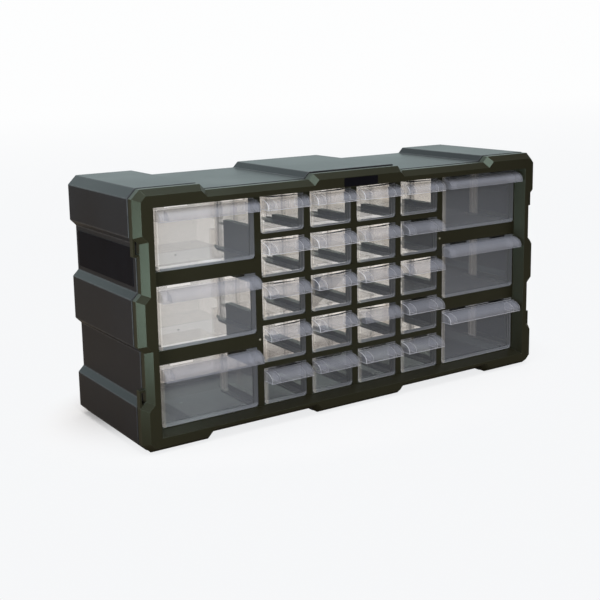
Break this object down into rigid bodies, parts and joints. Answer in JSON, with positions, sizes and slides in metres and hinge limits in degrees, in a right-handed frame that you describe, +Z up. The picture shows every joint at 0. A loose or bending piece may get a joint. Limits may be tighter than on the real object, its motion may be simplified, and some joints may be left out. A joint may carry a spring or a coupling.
{
  "type": "drawer organizer",
  "caption": "Small-parts drawer cabinet: a dark moulded frame and open-backed stepped shell hold sliding clear plastic drawers in a large and a small size, each with a lift-out divider",
  "frame": {"origin": "on the floor, in the middle of the whole object's box", "axes": "X left to right along the front, Y from the front to the back, Z up"},
  "size_m": [0.5, 0.1558, 0.247],
  "materials": {
    "frame_plastic": "dark olive moulded plastic, fine satin grain",
    "shell_plastic": "dark grey moulded plastic, satin",
    "drawer_plastic": "clear moulded plastic, slightly cloudy",
    "divider_plastic": "clear moulded plastic",
    "label_plate": "bare black printed film"
  },
  "bodies": {
    "cabinet": {"front_frame": "frame_plastic", "rear_shell": "shell_plastic", "side_label_plate": "label_plate", "badge_plate": "label_plate"},
    "large_row3_col1": {"drawer_large_row3_col1": "drawer_plastic", "divider_large_row3_col1": "divider_plastic"},
    "large_row2_col1": {"drawer_large_row2_col1": "drawer_plastic", "divider_large_row2_col1": "divider_plastic"},
    "large_row1_col1": {"drawer_large_row1_col1": "drawer_plastic", "divider_large_row1_col1": "divider_plastic"},
    "small_row5_col1": {"drawer_small_row5_col1": "drawer_plastic", "divider_small_row5_col1": "divider_plastic"},
    "small_row4_col1": {"drawer_small_row4_col1": "drawer_plastic", "divider_small_row4_col1": "divider_plastic"},
    "small_row3_col1": {"drawer_small_row3_col1": "drawer_plastic", "divider_small_row3_col1": "divider_plastic"},
    "small_row2_col1": {"drawer_small_row2_col1": "drawer_plastic", "divider_small_row2_col1": "divider_plastic"},
    "small_row1_col1": {"drawer_small_row1_col1": "drawer_plastic", "divider_small_row1_col1": "divider_plastic"},
    "small_row5_col2": {"drawer_small_row5_col2": "drawer_plastic", "divider_small_row5_col2": "divider_plastic"},
    "small_row4_col2": {"drawer_small_row4_col2": "drawer_plastic", "divider_small_row4_col2": "divider_plastic"},
    "small_row3_col2": {"drawer_small_row3_col2": "drawer_plastic", "divider_small_row3_col2": "divider_plastic"},
    "small_row2_col2": {"drawer_small_row2_col2": "drawer_plastic", "divider_small_row2_col2": "divider_plastic"},
    "small_row1_col2": {"drawer_small_row1_col2": "drawer_plastic", "divider_small_row1_col2": "divider_plastic"},
    "small_row5_col3": {"drawer_small_row5_col3": "drawer_plastic", "divider_small_row5_col3": "divider_plastic"},
    "small_row4_col3": {"drawer_small_row4_col3": "drawer_plastic", "divider_small_row4_col3": "divider_plastic"},
    "small_row3_col3": {"drawer_small_row3_col3": "drawer_plastic", "divider_small_row3_col3": "divider_plastic"},
    "small_row2_col3": {"drawer_small_row2_col3": "drawer_plastic", "divider_small_row2_col3": "divider_plastic"},
    "small_row1_col3": {"drawer_small_row1_col3": "drawer_plastic", "divider_small_row1_col3": "divider_plastic"},
    "small_row5_col4": {"drawer_small_row5_col4": "drawer_plastic", "divider_small_row5_col4": "divider_plastic"},
    "small_row4_col4": {"drawer_small_row4_col4": "drawer_plastic", "divider_small_row4_col4": "divider_plastic"},
    "small_row3_col4": {"drawer_small_row3_col4": "drawer_plastic", "divider_small_row3_col4": "divider_plastic"},
    "small_row2_col4": {"drawer_small_row2_col4": "drawer_plastic", "divider_small_row2_col4": "divider_plastic"},
    "small_row1_col4": {"drawer_small_row1_col4": "drawer_plastic", "divider_small_row1_col4": "divider_plastic"},
    "large_row3_col2": {"drawer_large_row3_col2": "drawer_plastic", "divider_large_row3_col2": "divider_plastic"},
    "large_row2_col2": {"drawer_large_row2_col2": "drawer_plastic", "divider_large_row2_col2": "divider_plastic"},
    "large_row1_col2": {"drawer_large_row1_col2": "drawer_plastic", "divider_large_row1_col2": "divider_plastic"}
  },
  "joints": [
    {"name": "slide_large_row3_col1", "type": "slide", "parent": "cabinet", "child": "large_row3_col1", "axis": [0, -1, 0], "range_m": [0, 0.09]},
    {"name": "slide_large_row2_col1", "type": "slide", "parent": "cabinet", "child": "large_row2_col1", "axis": [0, -1, 0], "range_m": [0, 0.09]},
    {"name": "slide_large_row1_col1", "type": "slide", "parent": "cabinet", "child": "large_row1_col1", "axis": [0, -1, 0], "range_m": [0, 0.09]},
    {"name": "slide_small_row5_col1", "type": "slide", "parent": "cabinet", "child": "small_row5_col1", "axis": [0, -1, 0], "range_m": [0, 0.09]},
    {"name": "slide_small_row4_col1", "type": "slide", "parent": "cabinet", "child": "small_row4_col1", "axis": [0, -1, 0], "range_m": [0, 0.09]},
    {"name": "slide_small_row3_col1", "type": "slide", "parent": "cabinet", "child": "small_row3_col1", "axis": [0, -1, 0], "range_m": [0, 0.09]},
    {"name": "slide_small_row2_col1", "type": "slide", "parent": "cabinet", "child": "small_row2_col1", "axis": [0, -1, 0], "range_m": [0, 0.09]},
    {"name": "slide_small_row1_col1", "type": "slide", "parent": "cabinet", "child": "small_row1_col1", "axis": [0, -1, 0], "range_m": [0, 0.09]},
    {"name": "slide_small_row5_col2", "type": "slide", "parent": "cabinet", "child": "small_row5_col2", "axis": [0, -1, 0], "range_m": [0, 0.09]},
    {"name": "slide_small_row4_col2", "type": "slide", "parent": "cabinet", "child": "small_row4_col2", "axis": [0, -1, 0], "range_m": [0, 0.09]},
    {"name": "slide_small_row3_col2", "type": "slide", "parent": "cabinet", "child": "small_row3_col2", "axis": [0, -1, 0], "range_m": [0, 0.09]},
    {"name": "slide_small_row2_col2", "type": "slide", "parent": "cabinet", "child": "small_row2_col2", "axis": [0, -1, 0], "range_m": [0, 0.09]},
    {"name": "slide_small_row1_col2", "type": "slide", "parent": "cabinet", "child": "small_row1_col2", "axis": [0, -1, 0], "range_m": [0, 0.09]},
    {"name": "slide_small_row5_col3", "type": "slide", "parent": "cabinet", "child": "small_row5_col3", "axis": [0, -1, 0], "range_m": [0, 0.09]},
    {"name": "slide_small_row4_col3", "type": "slide", "parent": "cabinet", "child": "small_row4_col3", "axis": [0, -1, 0], "range_m": [0, 0.09]},
    {"name": "slide_small_row3_col3", "type": "slide", "parent": "cabinet", "child": "small_row3_col3", "axis": [0, -1, 0], "range_m": [0, 0.09]},
    {"name": "slide_small_row2_col3", "type": "slide", "parent": "cabinet", "child": "small_row2_col3", "axis": [0, -1, 0], "range_m": [0, 0.09]},
    {"name": "slide_small_row1_col3", "type": "slide", "parent": "cabinet", "child": "small_row1_col3", "axis": [0, -1, 0], "range_m": [0, 0.09]},
    {"name": "slide_small_row5_col4", "type": "slide", "parent": "cabinet", "child": "small_row5_col4", "axis": [0, -1, 0], "range_m": [0, 0.09]},
    {"name": "slide_small_row4_col4", "type": "slide", "parent": "cabinet", "child": "small_row4_col4", "axis": [0, -1, 0], "range_m": [0, 0.09]},
    {"name": "slide_small_row3_col4", "type": "slide", "parent": "cabinet", "child": "small_row3_col4", "axis": [0, -1, 0], "range_m": [0, 0.09]},
    {"name": "slide_small_row2_col4", "type": "slide", "parent": "cabinet", "child": "small_row2_col4", "axis": [0, -1, 0], "range_m": [0, 0.09]},
    {"name": "slide_small_row1_col4", "type": "slide", "parent": "cabinet", "child": "small_row1_col4", "axis": [0, -1, 0], "range_m": [0, 0.09]},
    {"name": "slide_large_row3_col2", "type": "slide", "parent": "cabinet", "child": "large_row3_col2", "axis": [0, -1, 0], "range_m": [0, 0.09]},
    {"name": "slide_large_row2_col2", "type": "slide", "parent": "cabinet", "child": "large_row2_col2", "axis": [0, -1, 0], "range_m": [0, 0.09]},
    {"name": "slide_large_row1_col2", "type": "slide", "parent": "cabinet", "child": "large_row1_col2", "axis": [0, -1, 0], "range_m": [0, 0.09]}
  ]
}
